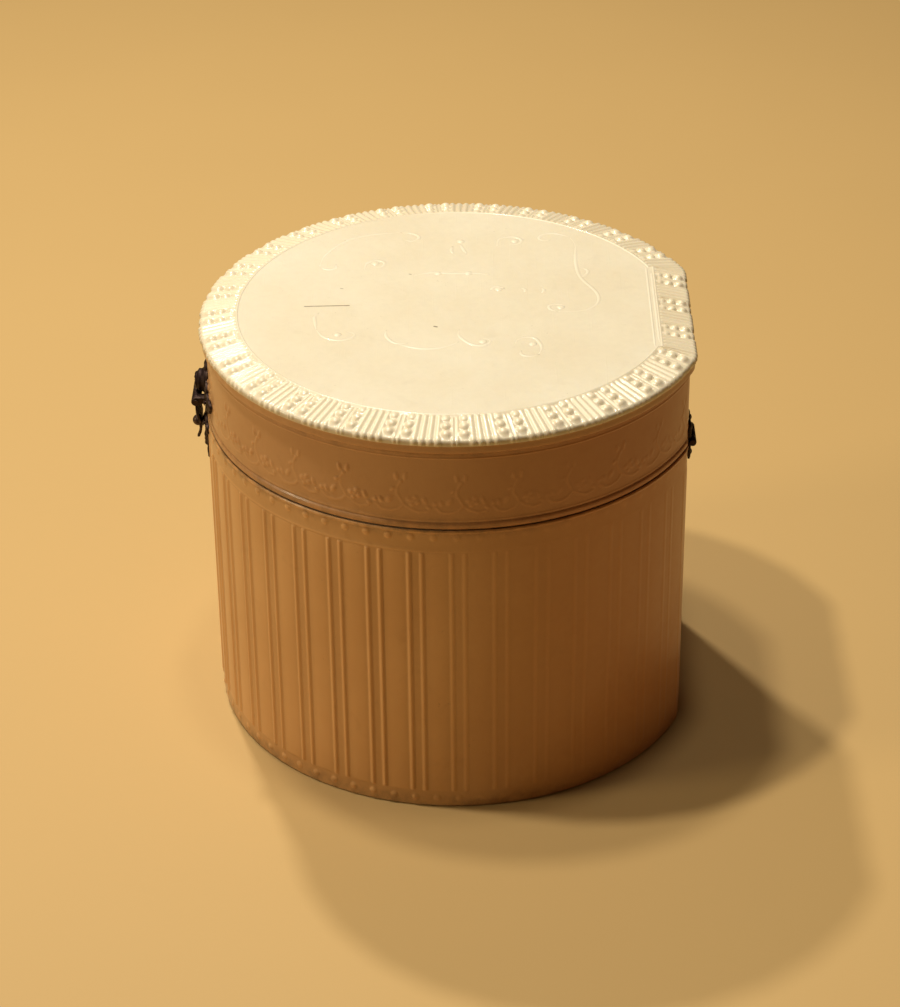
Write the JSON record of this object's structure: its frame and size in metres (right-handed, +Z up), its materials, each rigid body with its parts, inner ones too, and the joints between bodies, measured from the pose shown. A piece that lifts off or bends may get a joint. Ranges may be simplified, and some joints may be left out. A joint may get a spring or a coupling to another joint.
{
  "type": "bobbin box",
  "caption": "Round box with one flat side, an embossed ivory celluloid cover, a lift-up lid on small hinges and a dark ornate metal hasp clasp.",
  "frame": {"origin": "centre of the round drum on the underside of the base", "axes": "+Z up, +Y towards the flat back with the hinges, -Y towards the clasp at the front"},
  "size_m": [0.15, 0.1492, 0.1274],
  "materials": {
    "celluloid": "embossed ivory celluloid, satin gloss, toned with age",
    "pasteboard": "grey-brown strawboard, matte",
    "base_paper": "plain kraft paper, matte",
    "lining": "faded satin glued on paper, soft sheen",
    "padding": "faded satin over wadding, soft sheen",
    "bronze": "stamped brass with a dark oxidised finish, rubbed bright on high points"
  },
  "bodies": {
    "body": {"base_paper": "base_paper", "base_board": "pasteboard", "body_wall": "pasteboard", "body_cover": "celluloid", "body_lining": "lining", "base_pad": "padding", "left_hinge_body_leaf": "bronze", "right_hinge_body_leaf": "bronze", "hinge_pins": "bronze", "hinge_body_nails": "bronze", "catch_plate": "bronze", "catch_nails": "bronze", "catch_stud": "bronze"},
    "lid": {"lid_wall": "pasteboard", "lid_board": "pasteboard", "lid_crown": "pasteboard", "lid_top_cover": "celluloid", "lid_band": "celluloid", "lid_lining": "lining", "lid_inner_pad": "padding", "left_hinge_lid_leaf": "bronze", "right_hinge_lid_leaf": "bronze", "hinge_lid_nails": "bronze", "clasp_plate": "bronze", "clasp_nails": "bronze", "clasp_pin": "bronze"},
    "hasp": {"hasp": "bronze", "hasp_knob": "bronze"}
  },
  "joints": [
    {"name": "lid_hinge", "type": "hinge", "parent": "body", "child": "lid", "pos_m": [0, 0.06935, 0.0956], "axis": [-1, 0, 0], "range_deg": [0, 105]},
    {"name": "hasp_pivot", "type": "hinge", "parent": "lid", "child": "hasp", "pos_m": [0, -0.0768, 0.099], "axis": [-1, 0, 0], "range_deg": [0, 135]}
  ]
}
